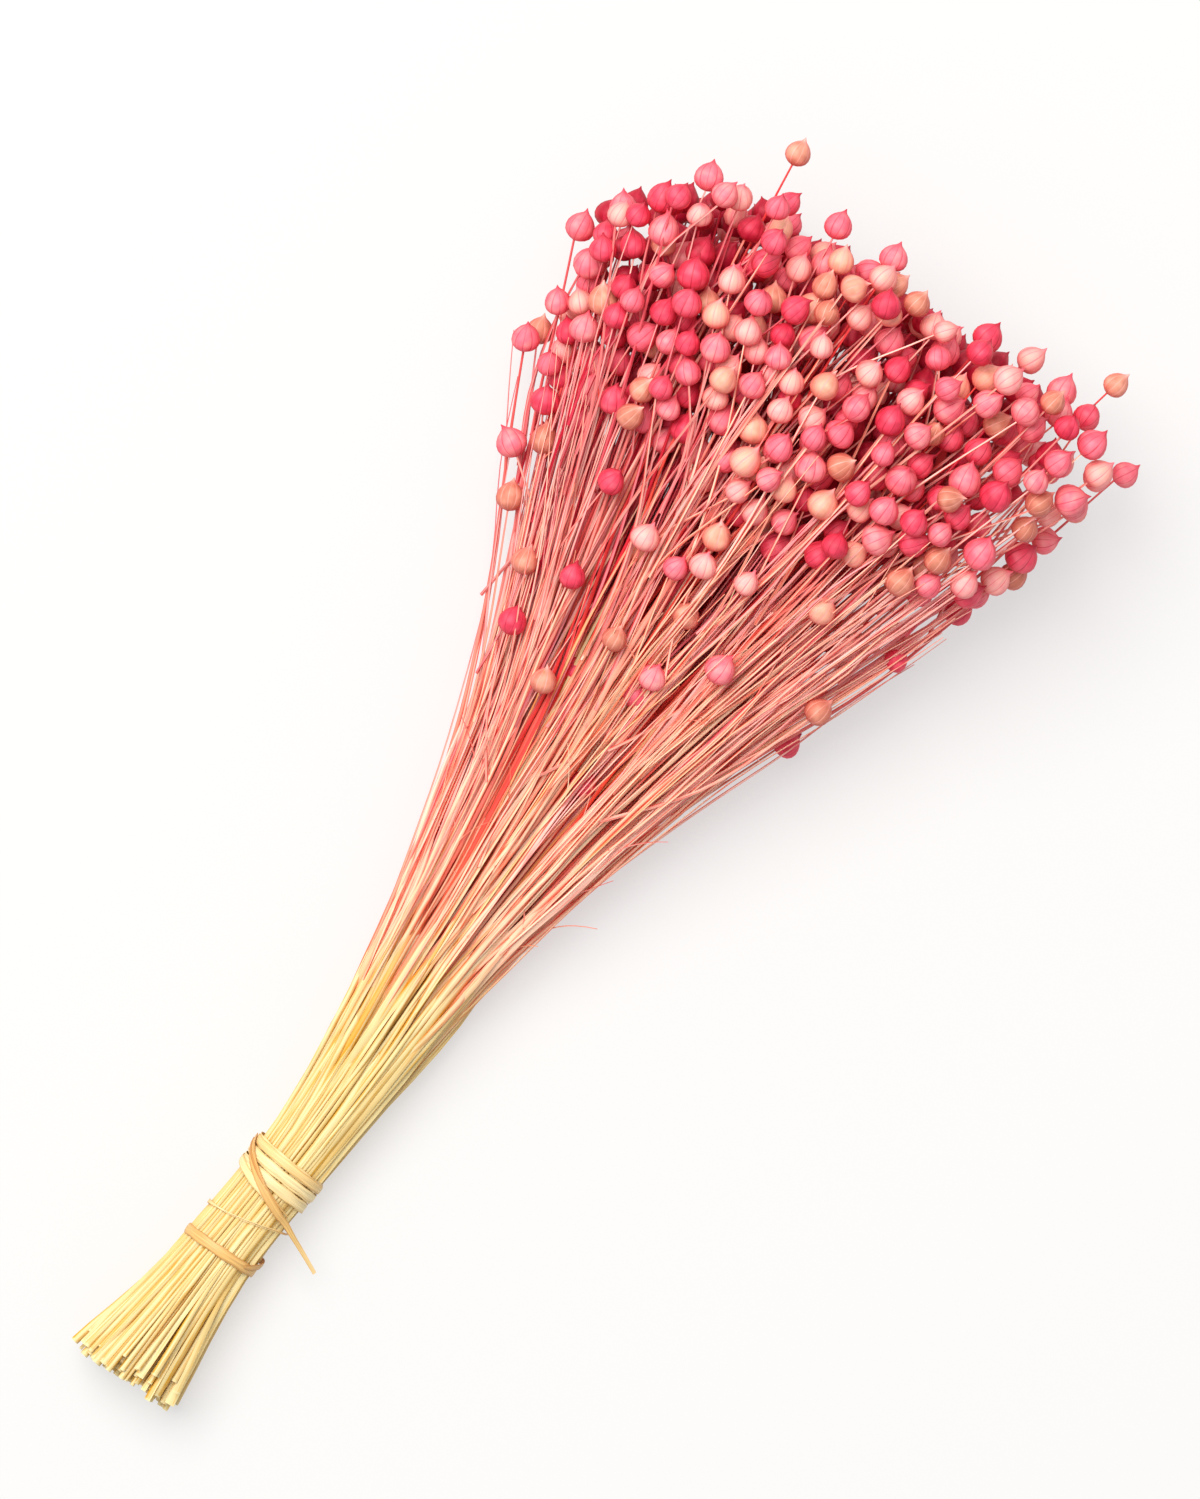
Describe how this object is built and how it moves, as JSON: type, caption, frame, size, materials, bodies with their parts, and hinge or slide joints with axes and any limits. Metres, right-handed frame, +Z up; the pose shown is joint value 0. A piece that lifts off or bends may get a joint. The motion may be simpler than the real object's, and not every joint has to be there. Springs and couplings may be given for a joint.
{
  "type": "dried flax bunch",
  "caption": "Bunch of dried, pink-dyed flax lying on its side: straw stems tied with raffia near the cut ends, fanning out into a broad head of round seed bolls.",
  "frame": {"origin": "under the middle of the bunch's box, on the surface that it lies on", "axes": "+X along the bunch from the cut ends to the seed bolls, +Z up; +Y across, so that the free raffia end points to -Y"},
  "size_m": [0.404, 0.1756, 0.0778],
  "materials": {
    "flax": "matte dyed straw, straw yellow at the cut ends and pink at the seed bolls",
    "raffia": "satin tan raffia"
  },
  "bodies": {
    "root": {"flax_plant_01": "flax", "flax_plant_02": "flax", "flax_plant_03": "flax", "flax_plant_04": "flax", "flax_plant_05": "flax", "flax_plant_06": "flax", "flax_plant_07": "flax", "flax_plant_08": "flax", "flax_plant_09": "flax", "flax_plant_10": "flax", "flax_plant_11": "flax", "flax_plant_12": "flax", "flax_plant_13": "flax", "flax_plant_14": "flax", "flax_plant_15": "flax", "flax_plant_16": "flax", "flax_plant_17": "flax", "flax_plant_18": "flax", "flax_plant_19": "flax", "flax_plant_20": "flax", "flax_plant_21": "flax", "flax_plant_22": "flax", "flax_plant_23": "flax", "flax_plant_24": "flax", "flax_plant_25": "flax", "flax_plant_26": "flax", "flax_plant_27": "flax", "flax_plant_28": "flax", "flax_plant_29": "flax", "flax_plant_30": "flax", "flax_plant_31": "flax", "flax_plant_32": "flax", "flax_plant_33": "flax", "flax_plant_34": "flax", "flax_plant_35": "flax", "flax_plant_36": "flax", "flax_plant_37": "flax", "flax_plant_38": "flax", "flax_plant_39": "flax", "flax_plant_40": "flax", "flax_plant_41": "flax", "flax_plant_42": "flax", "flax_plant_43": "flax", "flax_plant_44": "flax", "flax_plant_45": "flax", "flax_plant_46": "flax", "flax_plant_47": "flax", "flax_plant_48": "flax", "flax_plant_49": "flax", "flax_plant_50": "flax", "upper_raffia_tie": "raffia", "lower_raffia_tie": "raffia", "raffia_cross_strip": "raffia", "raffia_fibre": "raffia"}
  },
  "joints": []
}
